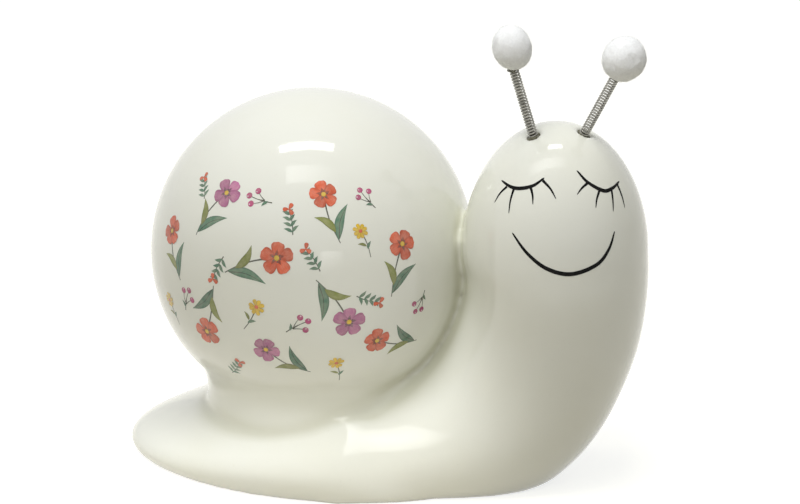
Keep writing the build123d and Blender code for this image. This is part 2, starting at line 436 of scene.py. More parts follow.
class Antenna:
    """Where one antenna stands, worked out from its two joints."""

    def __init__(self, side):
        joints = {joint["name"]: joint for joint in frame["joints"]}
        sway = Vector(joints[side + "_antenna_sway"]["pos_m"])
        nod = Vector(joints[side + "_ball_nod"]["pos_m"])
        self.side = side
        self.axis = (nod - sway).normalized()
        self.length = (nod - sway).length / (NOD_SHARE - SWAY_SHARE)
        self.mouth = sway - self.axis * self.length * SWAY_SHARE
        turn = Vector((0.0, 0.0, 1.0)).rotation_difference(self.axis).to_matrix().to_4x4()
        self.matrix = Matrix.Translation(self.mouth) @ turn

    def along(self, distance):
        return self.mouth + self.axis * distance

    def box(self, node):
        """Lowest and highest corner of a CAD node in the antenna's own axes."""
        inverse = self.matrix.inverted()
        points = np.array([inverse @ vertex.co for vertex in frame["nodes"][node].data.vertices])
        return Vector(points.min(axis=0)), Vector(points.max(axis=0))


class Gaze:
    """The camera's place and axes, and rays through the picture."""

    def __init__(self, settings):
        turn, rise = settings.azimuth, settings.elevation
        self.right = Vector((math.cos(turn), math.sin(turn), 0.0))
        flat = math.cos(rise)
        self.back = Vector((math.sin(turn) * flat, -math.cos(turn) * flat, math.sin(rise)))
        self.up = self.back.cross(self.right)
        self.eye = Vector(settings.aim) + self.back * settings.distance
        self.focus = settings.lens / SENSOR_WIDTH * PICTURE_SIZE[0]

    def matrix(self):
        turned = Matrix((self.right, self.up, self.back)).transposed().to_4x4()
        return Matrix.Translation(self.eye) @ turned

    def hit(self, pixel, surface):
        """Point of a surface that shows at a pixel."""
        across = (pixel[0] - PICTURE_SIZE[0] / 2) / self.focus
        above = (PICTURE_SIZE[1] / 2 - pixel[1]) / self.focus
        place = surface.ray_cast(self.eye, self.right * across + self.up * above - self.back)[0]
        if place is None:
            raise RuntimeError(f"nothing shows at pixel {pixel}")
        return place


def select_only(*objects):
    """Leaves these objects selected, the first of them active."""
    bpy.ops.object.select_all(action="DESELECT")
    for chosen in objects:
        chosen.select_set(True)
    bpy.context.view_layer.objects.active = objects[0]


def named(name):
    """The object that an operator has just added, at the origin with its place in its mesh."""
    made = bpy.context.object
    made.name = name
    made.data.name = name
    select_only(made)
    bpy.ops.object.transform_apply(location=True, rotation=True, scale=True)
    return made


def join(pieces, name):
    """One object of several."""
    select_only(*pieces)
    bpy.ops.object.join()
    return named(name)


def apply(target, kind, **settings):
    """Adds a modifier and applies it."""
    modifier = target.modifiers.new(kind.lower(), kind)
    for key, value in settings.items():
        setattr(modifier, key, value)
    select_only(target)
    bpy.ops.object.modifier_apply(modifier=modifier.name)


def finish_piece(piece, finish, body, replaced=()):
    """Gives a piece its material, its body and the CAD nodes that it stands for."""
    piece.data.materials.clear()
    piece.data.materials.append(finish.material)
    select_only(piece)
    bpy.ops.object.shade_smooth()
    if replaced:
        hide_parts(*replaced)
    if body:
        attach(piece, body)
    return piece


def copy_of_node(node):
    """A copy of a CAD node with its loose triangles merged."""
    made = bpy.data.objects.new(node + "_copy", frame["nodes"][node].data.copy())
    bpy.context.scene.collection.objects.link(made)
    select_only(made)
    bpy.ops.object.mode_set(mode="EDIT")
    bpy.ops.mesh.select_all(action="SELECT")
    bpy.ops.mesh.remove_doubles(threshold=MERGE_DISTANCE)
    bpy.ops.object.mode_set(mode="OBJECT")
    return made


def plug(matrix, radius, depth):
    """A stopper whose outer face is at the matrix's place, and which goes down from there."""
    bpy.ops.mesh.primitive_cylinder_add(
        vertices=48, radius=radius, depth=depth, location=(0.0, 0.0, -depth / 2)
    )
    made = named("plug")
    made.data.transform(matrix)
    return made


def keep_outer_skin(skin):
    """Deletes the walls of the hollow inside."""
    top = max(skin.data.vertices, key=lambda vertex: vertex.co.z).index
    select_only(skin)
    bpy.ops.object.mode_set(mode="EDIT")
    bpy.ops.mesh.select_mode(type="VERT")
    bpy.ops.mesh.select_all(action="DESELECT")
    bpy.ops.object.mode_set(mode="OBJECT")
    skin.data.vertices[top].select = True
    bpy.ops.object.mode_set(mode="EDIT")
    bpy.ops.mesh.select_linked()
    bpy.ops.mesh.select_all(action="INVERT")
    bpy.ops.mesh.delete(type="VERT")
    bpy.ops.object.mode_set(mode="OBJECT")


class Skin:
    """Points of the glazed skin as arrays, with means over neighbouring points."""

    def __init__(self, skin):
        mesh = skin.data
        self.count = len(mesh.vertices)
        places = np.empty(self.count * 3)
        mesh.vertices.foreach_get("co", places)
        self.places = places.reshape(-1, 3)
        normals = np.empty(self.count * 3)
        mesh.vertex_normals.foreach_get("vector", normals)
        self.normals = normals.reshape(-1, 3)
        edges = np.empty(len(mesh.edges) * 2, dtype=int)
        mesh.edges.foreach_get("vertices", edges)
        ends = edges.reshape(-1, 2)
        self.ends = np.concatenate((ends, ends[:, ::-1]))
        self.links = np.bincount(self.ends[:, 0], minlength=self.count)

    def evened(self, values, passes):
        """Values of the points, each replaced by its neighbours' mean a number of times."""
        for _ in range(passes):
            values = np.bincount(self.ends[:, 0], values[self.ends[:, 1]], self.count) / self.links
        return values

    def creases(self, passes=CREASE_PASSES):
        """How deep each point lies in a crease."""
        even = np.stack([self.evened(self.places[:, axis], passes) for axis in range(3)], axis=1)
        return np.einsum("ij,ij->i", even - self.places, self.normals)

    def faired(self, weights, passes):
        """The points with short waves taken out of them but no loss of size."""
        places = self.places
        for _ in range(passes):
            for pull in FAIRING_PULLS:
                even = np.stack([self.evened(places[:, axis], 1) for axis in range(3)], axis=1)
                places = places + (even - places) * (weights * pull)[:, None]
        return places

    def apart(self, node):
        """Distance of each point from a CAD node."""
        solid = frame["nodes"][node]
        places = [Vector(place) for place in self.places]
        return np.array([(solid.closest_point_on_mesh(spot)[1] - spot).length for spot in places])


def ramp(values, low, high):
    """0 below low, 1 above high and a straight rise between."""
    return np.clip((values - low) / (high - low), 0.0, 1.0)


def soften_bends(skin, settings):
    """Evens out the bends between foot, neck, collar and ball, but not the seam and the holes."""
    margin = settings.seam_margin
    points = Skin(skin)
    bends = points.evened(ramp(points.creases(), 0.0, settings.bend_depth), 10)
    ahead, _, height = points.places.T
    flank = ramp(ahead, *FLANK_AHEAD) * (1.0 - ramp(height, *FLANK_HEIGHT))
    weights = np.maximum(ramp(bends, 0.0, 0.5), flank)
    seam = np.maximum(points.apart("body_casting"), points.apart("shell_casting"))
    free = ramp(seam, 0.5 * margin, 1.5 * margin) * ramp(height, 0.6 * margin, 1.6 * margin)
    for side in SIDES:
        off = np.linalg.norm(points.places - np.array(Antenna(side).mouth), axis=1)
        free *= ramp(off, margin, 2.0 * margin)
    skin.data.vertices.foreach_set("co", points.faired(free, settings.fairing).ravel())
    weights *= free
    group = skin.vertex_groups.new(name="bends")
    levels = np.round(weights * BEND_LEVELS).astype(int)
    for level in range(1, BEND_LEVELS + 1):
        group.add(np.flatnonzero(levels == level).tolist(), level / BEND_LEVELS, "REPLACE")
    apply(skin, "SMOOTH", factor=0.5, iterations=settings.bend_softening, vertex_group="bends")


def mark_creases(skin, depth):
    """Writes how deep each point lies in a crease, as a share of depth."""
    attribute = skin.data.attributes.new("crease", "FLOAT", "POINT")
    shares = ramp(Skin(skin).creases(), 0.0, depth)
    attribute.data.foreach_set("value", shares.astype(np.float32))


def glaze_finish(settings):
    """Glossy milk-white glaze over bare clay on the resting face, greyer in the creases: glaze that
    pools there, and painted shade.
    """
    finish = Finish("milk_white_glaze", Coat_Roughness=0.03, IOR=1.5)
    cloud = finish.noise(22.0, 3.0)
    speck = finish.noise(900.0, 1.0)
    crease = finish.attribute("crease")
    height = finish.node("ShaderNodeSeparateXYZ", None, {"Vector": finish.place}, output="Z")
    glazed = finish.band(height, 0.25 * MILLIMETRE, 0.9 * MILLIMETRE)
    pinhole = finish.band(speck, 0.70, 0.80)
    colour = finish.mix(finish.band(cloud, 0.35, 0.75), settings.glaze, settings.warm)
    # Painted shade in the creases, together with the glaze that pools there
    colour = finish.mix(crease * 0.75, colour, settings.pooled_glaze_and_crease_shade)
    colour = finish.mix(pinhole * 0.12, colour, settings.pooled_glaze_and_crease_shade)
    colour = finish.mix(glazed, settings.biscuit, colour)
    roughness = 0.75 - glazed * 0.67 + pinhole * 0.10
    finish.set(Base_Color=colour, Roughness=roughness, Coat_Weight=glazed * 0.15)
    finish.bump(finish.noise(130.0, 2.0), 0.10, 0.05 * MILLIMETRE)
    return finish


class SNAIL_OT_ceramic(Operator):
    """Joins the body and the shell into one glazed skin with soft creases and open holes"""

    bl_idname = "snail.ceramic"
    bl_label = "Ceramic"

    def execute(self, context):
        settings = context.scene.snail_ceramic
        castings = ("body_casting", "shell_casting")
        pieces = [copy_of_node(node) for node in castings]
        low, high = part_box("head_glue_left")
        hole = high.x - low.x
        for side in SIDES:
            antenna = Antenna(side)
            sunk = antenna.matrix @ Matrix.Translation((0.0, 0.0, -settings.plug_depth))
            pieces.append(plug(sunk, HOLE_PLUG_RADIUS * hole, HOLE_PLUG_DEPTH * hole))
        vent = Matrix.Translation((BASE_VENT_X, 0.0, BASE_VENT_FLOOR))
        vent = vent @ Matrix.Rotation(math.pi, 4, "X")
        pieces.append(plug(vent, BASE_VENT_RADIUS, BASE_VENT_RADIUS))
        skin = join(pieces, "ceramic")
        apply(skin, "REMESH", mode="VOXEL", voxel_size=settings.grid)
        keep_outer_skin(skin)
        apply(skin, "SMOOTH", factor=0.5, iterations=settings.softening)
        soften_bends(skin, settings)
        mark_creases(skin, settings.crease_depth)
        finish_piece(skin, glaze_finish(settings), "casting", castings)
        return {"FINISHED"}


def smooth_path(points, count):
    """Points at even shares of a soft curve through the given ones."""
    ends = [points[0] * 2 - points[1], *points, points[-1] * 2 - points[-2]]
    spans = len(points) - 1
    path = []
    for step in range(count):
        share = step / (count - 1) * spans
        span = min(int(share), spans - 1)
        t = share - span
        a, b, c, d = ends[span : span + 4]
        square = a * 2 - b * 5 + c * 4 - d
        cube = b * 3 - a - c * 3 + d
        path.append((b * 2 + (c - a) * t + square * t**2 + cube * t**3) / 2)
    return path


def glazed_surface():
    """The glazed skin, to find points on it."""
    return BVHTree.FromObject(bpy.data.objects["ceramic"], bpy.context.evaluated_depsgraph_get())


def brush_stroke(surface, path, half_widths, lift, across=4):
    """A flat stroke that lies on a surface along a path, with a half width at each point."""
    steps = len(path) - 1
    bpy.ops.mesh.primitive_grid_add(x_subdivisions=steps, y_subdivisions=across, size=1.0)
    stroke = named("stroke")
    normals = [surface.find_nearest(point)[1] for point in path]
    for vertex in stroke.data.vertices:
        row = round((vertex.co.x + 0.5) * steps)
        heading = path[min(row + 1, steps)] - path[max(row - 1, 0)]
        sideways = normals[row].cross(heading).normalized()
        wanted = path[row] + sideways * (half_widths[row] * vertex.co.y * 2)
        place, normal, _, _ = surface.find_nearest(wanted)
        vertex.co = place + normal * lift
    return stroke


def both_ends_thin(share):
    return 0.30 + 0.70 * math.sin(math.pi * share) ** 0.7 if 0.0 < share < 1.0 else 0.12


def far_end_thin(share):
    return (1.0 - share) ** 0.55 * 0.85 + 0.12


def face_finish(settings):
    """Black enamel, a little thinner in places."""
    finish = Finish("black_enamel", Specular_IOR_Level=0.06)
    streak = finish.band(finish.noise(700.0, 3.0), 0.35, 0.75)
    thin = tuple(channel * 2.5 for channel in settings.paint)
    finish.set(Base_Color=finish.mix(streak, settings.paint, thin), Roughness=0.22 + streak * 0.14)
    finish.bump(finish.noise(900.0, 2.0), 0.15, 0.03 * MILLIMETRE)
    return finish


class SNAIL_OT_painted_face(Operator):
    """Paints the closed eyes and the smile on the head with a tapering brush"""

    bl_idname = "snail.painted_face"
    bl_label = "Painted face"

    def execute(self, context):
        settings = context.scene.snail_face
        gaze = Gaze(context.scene.snail_stage)
        surface = glazed_surface()
        strokes = []

        def paint(pixels, width, taper, count):
            knots = [gaze.hit(pixel, surface) for pixel in pixels]
            path = smooth_path(knots, count)
            widths = [width / 2 * taper(step / (count - 1)) for step in range(count)]
            strokes.append(brush_stroke(surface, path, widths, settings.lift))

        for lid in (LEFT_LID, RIGHT_LID):
            paint(lid, settings.lid_width, both_ends_thin, LID_POINTS)
        for lash in (*LEFT_LASHES, *RIGHT_LASHES):
            paint(lash, settings.lash_width, far_end_thin, LASH_POINTS)
        paint(SMILE, settings.smile_width, both_ends_thin, SMILE_POINTS)
        face = join(strokes, "painted_face")
        finish_piece(face, face_finish(settings), "casting")
        return {"FINISHED"}


def petal_shape(share):
    return share**0.6 * math.sqrt(max(0.0, 1.0 - share**5)) * 1.12


def leaf_shape(share):
    return math.sin(math.pi * share**0.85) * (1.0 - 0.2 * share)


def stem_shape(share):
    return 1.0 - 0.45 * share


def drop_shape(share):
    return math.sqrt(max(0.0, 1.0 - (2.0 * share - 1.0) ** 2))


class Transfer:
    """Lays the shapes of one printed motif on the shell; its lengths are in millimetres."""

    def __init__(self, surface, settings, heading, rise, tilt, size, chance):
        low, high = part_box("shell_casting")
        self.radius = (high.y - low.y) / 2
        self.middle = Vector((0.0, 0.0, high.z - self.radius))
        level = Vector((math.sin(heading), -math.cos(heading), 0.0))
        self.out = level * math.cos(rise) + Vector((0.0, 0.0, math.sin(rise)))
        self.east = Vector((math.cos(heading), math.sin(heading), 0.0))
        self.north = self.out.cross(self.east)
        self.turn = Matrix.Rotation(tilt, 2)
        self.surface = surface
        self.settings = settings
        self.scale = size * MILLIMETRE
        self.chance = chance
        self.strokes = []

    def place(self, spot):
        """Point of the shell at a spot of the motif."""
        x, y = self.turn @ Vector(spot) * self.scale
        way = self.east * x + self.north * y
        angle = way.length / self.radius
        way = self.out * math.cos(angle) + way.normalized() * math.sin(angle)
        return self.middle + way * self.radius

    def stroke(self, start, end, shape, width, tint, bow=0.0, count=12, across=4):
        """One shape from start to end that bows to one side by a share of its length."""
        start, end = Vector(start), Vector(end)
        side = Vector((start.y - end.y, end.x - start.x)) * bow
        path, widths = [], []
        for step in range(count + 1):
            share = step / count
            path.append(self.place(start.lerp(end, share) + side * math.sin(math.pi * share)))
            widths.append(max(0.02, shape(share)) * width / 2 * self.scale)
        lift = self.settings.layer * (len(self.strokes) + 5)
        made = brush_stroke(self.surface, path, widths, lift, across)
        shade = self.chance.uniform(0.82, 1.15)
        colour = np.array([min(1.0, channel * shade) for channel in tint] + [1.0], dtype=np.float32)
        attribute = made.data.attributes.new("tint", "FLOAT_COLOR", "POINT")
        attribute.data.foreach_set("color", np.tile(colour, len(made.data.vertices)))
        self.strokes.append(made)

    def ring(self, middle, count, length, width, tint, shape=petal_shape, first=90.0):
        """Petals round a middle."""
        for index in range(count):
            angle = math.radians(first + index * 360.0 / count + self.chance.uniform(-6, 6))
            reach = length * self.chance.uniform(0.92, 1.08)
            tip = Vector(middle) + Vector((math.cos(angle), math.sin(angle))) * reach
            self.stroke(middle, tip, shape, width, tint, self.chance.uniform(-0.06, 0.06))

    def dot(self, spot, size, tint):
        end = Vector(spot) + Vector((0.0, size / 2))
        self.stroke(Vector(spot) - Vector((0.0, size / 2)), end, drop_shape, size, tint, count=8)

    def blossom(self, tint):
        """An open flower of five petals with a stem and two leaves."""
        colours = self.settings
        self.stroke((0.0, 5.0), (1.5, -11.0), stem_shape, 0.5, colours.sprig, -0.06, 10, 2)
        self.stroke((1.3, -10.0), (6.5, 0.5), leaf_shape, 3.2, colours.leaf, 0.10)
        self.stroke((1.6, -9.6), (5.9, -0.5), stem_shape, 0.25, colours.sprig, 0.10, 10, 2)
        self.stroke((0.8, -7.5), (-4.6, -1.5), leaf_shape, 2.6, colours.olive, -0.14)
        self.ring((0.0, 5.0), 5, 4.6, 4.6, tint)
        self.ring((0.0, 5.0), 5, 2.2, 0.9, tuple(channel * 0.45 for channel in tint), leaf_shape)
        self.dot((0.0, 5.0), 1.5, colours.yellow)
        for index in range(6):
            angle = math.radians(index * 60.0)
            spot = (1.15 * math.cos(angle), 5.0 + 1.15 * math.sin(angle))
            self.dot(spot, 0.4, colours.sprig)

    def daisy(self):
        """A small yellow flower on a thin stem."""
        colours = self.settings
        self.stroke((0.0, 3.0), (-0.8, -6.5), stem_shape, 0.4, colours.sprig, 0.05, 8, 2)
        self.stroke((-0.4, -2.5), (-3.0, -0.5), leaf_shape, 1.1, colours.olive, -0.1)
        self.stroke((-0.5, -3.5), (1.8, -1.6), leaf_shape, 1.1, colours.leaf, 0.1)
        self.ring((0.0, 3.0), 8, 2.7, 1.6, colours.yellow)
        self.dot((0.0, 3.0), 1.3, colours.scarlet)

    def berries(self):
        """Three berries on a forked sprig."""
        colours = self.settings
        self.stroke((0.0, -5.0), (0.0, 3.0), stem_shape, 0.35, colours.sprig, 0.05, 8, 2)
        shine = tuple(0.5 + 0.5 * channel for channel in colours.magenta)
        for spot in ((0.0, 3.4), (-2.4, 1.8), (2.3, 1.0)):
            self.stroke((0.0, -2.4), spot, stem_shape, 0.3, colours.sprig, 0.06, 8, 2)
            self.dot(spot, 2.1, colours.magenta)
            self.dot((spot[0] - 0.35, spot[1] + 0.4), 0.6, shine)
        self.stroke((0.0, -3.6), (-2.2, -2.0), leaf_shape, 1.0, colours.leaf, -0.1)

    def twig(self):
        """A dark sprig of paired leaves that ends in a small red bud."""
        colours = self.settings
        self.stroke((0.0, -5.5), (0.4, 3.0), stem_shape, 0.35, colours.sprig, -0.05, 8, 2)
        for index in range(4):
            height = -4.6 + 1.9 * index
            reach = 2.5 - 0.25 * index
            for side in (-1.0, 1.0):
                root, tip = (0.05 * index, height), (side * reach, height + 1.7)
                self.stroke(root, tip, leaf_shape, 1.15, colours.leaf, side * 0.1, 8)
        self.ring((0.4, 3.0), 3, 2.1, 1.7, colours.scarlet, first=50.0)


def print_finish():
    """Ceramic colours laid down like watercolour: uneven, and darker along the edges."""
    finish = Finish("printed_colour", Coat_Weight=0.15, Coat_Roughness=0.03, IOR=1.5)
    tint = finish.attribute("tint", "Color")
    spot = finish.node("ShaderNodeUVMap", {"uv_map": "UVMap"}, None, "UV")
    across = finish.node("ShaderNodeSeparateXYZ", None, {"Vector": spot}, "Y")
    along = finish.node("ShaderNodeSeparateXYZ", None, {"Vector": spot}, "X")
    off_middle = finish.node("ShaderNodeMath", {"operation": "ABSOLUTE"}, {0: across - 0.5})
    edge = finish.band(off_middle, 0.28, 0.5)
    stretched = finish.node("ShaderNodeMapping", None, {"Vector": spot, "Scale": (2.0, 11.0, 1.0)})
    streak = finish.band(finish.noise(1.6, 3.0, stretched), 0.35, 0.7)
    wash = finish.band(finish.noise(420.0, 3.0), 0.3, 0.7)
    light = finish.mix(0.38, tint, (0.92, 0.80, 0.62))
    settings = {"data_type": "RGBA", "blend_type": "MULTIPLY"}
    inputs = {"Factor": 1.0, 6: tint, 7: opaque((0.45, 0.42, 0.45))}
    dark = finish.node("ShaderNodeMix", settings, inputs, output=2)
    colour = finish.mix(wash * 0.55, tint, light)
    colour = finish.mix(streak * 0.40, colour, dark)
    colour = finish.mix((edge * 0.45 + (1.0 - along) * 0.25).clamped(), colour, dark)
    finish.set(Base_Color=colour, Roughness=0.12 + wash * 0.06)
    return finish


class SNAIL_OT_shell_print(Operator):
    """Lays a scatter of small flowers, berries and sprigs on the camera's side of the shell"""

    bl_idname = "snail.shell_print"
    bl_label = "Shell print"

    def execute(self, context):
        settings = context.scene.snail_print
        surface = glazed_surface()
        chance = random.Random(PRINT_SEED)
        strokes = []
        for kind, turn, rise, tilt, size in PRINT_MOTIFS:
            heading = context.scene.snail_stage.azimuth + math.radians(turn)
            angles = (heading, math.radians(rise), math.radians(tilt))
            motif = Transfer(surface, settings, *angles, size, chance)
            if kind == "blossom":
                motif.blossom(settings.scarlet)
            elif kind == "mauve_blossom":
                motif.blossom(settings.mauve)
            else:
                getattr(motif, kind)()
            strokes.extend(motif.strokes)
        printed = join(strokes, "shell_print")
        finish_piece(printed, print_finish(), "casting")
        return {"FINISHED"}


def coil(name, antenna, start, turns, pitch, settings):
    """Turns of round wire about the antenna's axis, from a height above the hole's mouth."""
    bpy.ops.mesh.primitive_circle_add(
        vertices=WIRE_CORNERS,
        radius=settings.wire / 2,
        location=(settings.coil / 2, 0.0, start),
        rotation=(math.pi / 2, 0.0, 0.0),
    )
    made = named(name)
    apply(
        made,
        "SCREW",
        axis="Z",
        angle=2 * math.pi,
        screw_offset=pitch,
        iterations=turns,
        steps=TURN_STEPS,
        render_steps=TURN_STEPS,
    )
    select_only(made)
    bpy.ops.object.mode_set(mode="EDIT")
    bpy.ops.mesh.select_all(action="SELECT")
    bpy.ops.mesh.remove_doubles(threshold=MERGE_DISTANCE)
    bpy.ops.mesh.fill_holes(sides=0)
    bpy.ops.mesh.normals_make_consistent(inside=False)
    bpy.ops.object.mode_set(mode="OBJECT")
    made.data.transform(antenna.matrix)
    return made


def steel_finish(settings):
    """Drawn steel wire with faint draw marks and a dull film."""
    finish = Finish("drawn_steel_wire", Metallic=1.0)
    film = finish.band(finish.noise(420.0, 3.0), 0.35, 0.75)
    mark = finish.noise(2600.0, 2.0)
    dull = tuple(channel * 0.55 for channel in settings.steel)
    roughness = 0.22 + film * 0.16 + mark * 0.06
    finish.set(Base_Color=finish.mix(film, settings.steel, dull), Roughness=roughness)
    finish.bump(mark, 0.12, 0.02 * MILLIMETRE)
    return finish


class SNAIL_OT_springs(Operator):
    """Winds both springs, each as a lower and an upper length of coil"""

    bl_idname = "snail.springs"
    bl_label = "Springs"

    def execute(self, context):
        settings = context.scene.snail_antenna
        finish = steel_finish(settings)
        for side in SIDES:
            antenna = Antenna(side)
            node = "antenna_spring_" + side
            low, high = antenna.box(node)
            pitch = (high.z - low.z - settings.wire) / settings.turns
            start = low.z + settings.wire / 2
            middle = start + settings.lower_turns * pitch
            turns = settings.lower_turns
            lower = coil(f"spring_{side}_lower", antenna, start, turns, pitch, settings)
            turns = settings.turns - settings.lower_turns
            upper = coil(f"spring_{side}_upper", antenna, middle, turns, pitch, settings)
            for piece in (lower, upper):
                finish_piece(piece, finish, None, (node,))
            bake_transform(lower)
            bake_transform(upper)
        return {"FINISHED"}


def felt_finish(settings):
    """White felted wool, greyer between the fibres."""
    finish = Finish("white_felt", Roughness=0.95, Sheen_Weight=0.35, Sheen_Roughness=0.5)
    matted = finish.noise(1500.0, 4.0)
    patch = finish.noise(160.0, 2.0)
    grey = tuple(channel * 0.93 for channel in settings.felt)
    colour = finish.mix(finish.band(matted, 0.35, 0.65), grey, settings.felt)
    colour = finish.mix(finish.band(patch, 0.45, 0.75) * 0.4, colour, grey)
    finish.set(Base_Color=colour)
    finish.bump(matted, 0.25, 0.15 * MILLIMETRE)
    return finish


def lumps(way, shift, waves):
    """Height of an uneven surface in a direction, from waves of a height and a fineness each."""
    return sum(height * noise.noise(way * fineness + shift) for height, fineness in waves)


def felted_ball(name, antenna, node, flat_count, chance):
    """A ball of wool pressed to faint flats, with a lumpy surface."""
    low, high = antenna.box(node)
    bpy.ops.mesh.primitive_ico_sphere_add(subdivisions=6, radius=1.0)
    ball = named(name)
    flats = []
    for _ in range(flat_count):
        way = Vector((chance.gauss(0, 1), chance.gauss(0, 1), chance.gauss(0, 1))).normalized()
        flats.append((way, chance.uniform(0.945, 0.985)))
    shift = Vector((chance.uniform(0, 50), 0.0, 0.0))
    for vertex in ball.data.vertices:
        way = vertex.co.normalized()
        reach = 1.0
        for flat, depth in flats:
            facing = way.dot(flat)
            if facing > depth:
                reach = min(reach, depth / facing * 0.55 + reach * 0.45)
        vertex.co = way * (reach - FELT_SINK + lumps(way, shift, FELT_LUMPS))
    size = Matrix.Diagonal((*(high - low) / 2, 1.0))
    ball.data.transform(antenna.matrix @ Matrix.Translation((low + high) / 2) @ size)
    return ball


def fibre_nap(ball, settings, chance):
    """Short loose fibres that lie about on a ball, each bent from one drawn cone."""
    bpy.ops.mesh.primitive_cone_add(
        vertices=3,
        radius1=settings.fibre_root,
        radius2=settings.fibre_tip,
        depth=1.0,
        location=(0.0, 0.0, 0.5),
    )
    fibre = named("fibre")
    bpy.ops.object.mode_set(mode="EDIT")
    bpy.ops.mesh.select_all(action="SELECT")
    bpy.ops.mesh.subdivide(number_cuts=2)
    bpy.ops.object.mode_set(mode="OBJECT")
    shape = np.array([vertex.co for vertex in fibre.data.vertices])
    faces = [tuple(polygon.vertices) for polygon in fibre.data.polygons]
    bpy.data.objects.remove(fibre)
    corners, polygons = [], []
    roots = chance.sample(range(len(ball.data.vertices)), settings.fibres)
    for root in roots:
        vertex = ball.data.vertices[root]
        lean = Vector((chance.gauss(0, 1), chance.gauss(0, 1), chance.gauss(0, 1)))
        flat = (lean - vertex.normal * lean.dot(vertex.normal)).normalized()
        rise = chance.uniform(0.05, 0.55)
        way = (flat + vertex.normal * rise).normalized()
        side = way.cross(vertex.normal).normalized()
        length = settings.fibre_length * chance.uniform(0.5, 1.2)
        curl = settings.fibre_length * chance.uniform(-0.35, 0.05)
        sway = settings.fibre_length * chance.uniform(-0.3, 0.3)
        base = len(corners)
        for x, y, z in shape:
            up, across = x + curl * z * z, y + sway * z * z
            corners.append(vertex.co + way * (z * length) + vertex.normal * up + side * across)
        polygons.extend(tuple(base + corner for corner in face) for face in faces)
    mesh = bpy.data.meshes.new(ball.name + "_nap")
    mesh.from_pydata(corners, [], polygons)
    nap = bpy.data.objects.new(ball.name + "_nap", mesh)
    bpy.context.scene.collection.objects.link(nap)
    return nap


class SNAIL_OT_felted_balls(Operator):
    """Forms the two felted balls with their loose fibres"""

    bl_idname = "snail.felted_balls"
    bl_label = "Felted balls"

    def execute(self, context):
        settings = context.scene.snail_antenna
        finish = felt_finish(settings)
        for index, side in enumerate(SIDES):
            chance = random.Random(FELT_SEED + index)
            antenna = Antenna(side)
            node = "antenna_ball_" + side
            ball = felted_ball("felted_ball_" + side, antenna, node, settings.flats, chance)
            nap = fibre_nap(ball, settings, chance)
            ball = join([ball, nap], "felted_ball_" + side)
            finish_piece(ball, finish, side + "_ball", (node,))
        return {"FINISHED"}


def glue_finish(settings):
    """Brown-grey glue, clearer where it is thin."""
    finish = Finish("brown_glue", Coat_Weight=0.2)
    cloud = finish.band(finish.noise(900.0, 3.0), 0.3, 0.7)
    pale = tuple(channel * 1.6 for channel in settings.glue)
    finish.set(Base_Color=finish.mix(cloud, settings.glue, pale), Roughness=0.22 + cloud * 0.25)
    finish.bump(finish.noise(1400.0, 2.0), 0.4, 0.1 * MILLIMETRE)
    return finish


def glue_bead(name, antenna, height, radius, rise, chance):
    """An uneven bead of glue round a spring."""
    bpy.ops.mesh.primitive_uv_sphere_add(segments=40, ring_count=20, radius=1.0)
    bead = named(name)
    shift = Vector((chance.uniform(0, 50), 0.0, 0.0))
    for vertex in bead.data.vertices:
        way = vertex.co.normalized()
        vertex.co = way * (GLUE_FILL + lumps(way, shift, GLUE_LUMPS))
    size = Matrix.Diagonal((radius, radius, rise, 1.0))
    bead.data.transform(antenna.matrix @ Matrix.Translation((0.0, 0.0, height)) @ size)
    return bead


class SNAIL_OT_glue_beads(Operator):
    """Puts the glue beads round the springs in the head and under the balls"""

    bl_idname = "snail.glue_beads"
    bl_label = "Glue beads"

    def execute(self, context):
        finish = glue_finish(context.scene.snail_antenna)
        for index, side in enumerate(SIDES):
            chance = random.Random(GLUE_SEED + index)
            antenna = Antenna(side)
            _, high = antenna.box("head_glue_" + side)
            radius = high.x
            height = high.z - 0.8 * radius
            seat = glue_bead("glue_in_head_" + side, antenna, height, radius, 0.6 * radius, chance)
            finish_piece(seat, finish, "casting", ("head_glue_" + side,))
            low, high = antenna.box("ball_glue_" + side)
            radius = high.x
            height = low.z + 0.2 * radius
            drop = glue_bead(
                "glue_in_ball_" + side, antenna, height, 0.8 * radius, 0.4 * radius, chance
            )
            finish_piece(drop, finish, side + "_ball", ("ball_glue_" + side,))
        return {"FINISHED"}


def floor_finish(settings):
    """Pale studio floor, white to the camera apart from the shadow."""
    finish = Finish("studio_floor", Roughness=0.9)
    tone = finish.noise(3.0, 2.0)
    darker = tuple(channel * 0.985 for channel in settings.floor)
    finish.set(Base_Color=finish.mix(tone, settings.floor, darker))
    white = finish.mix(finish.background_rays(), (0.0, 0.0, 0.0), (0.96, 0.98, 1.0))
    finish.set(Emission_Color=white, Emission_Strength=settings.glow)
    return finish


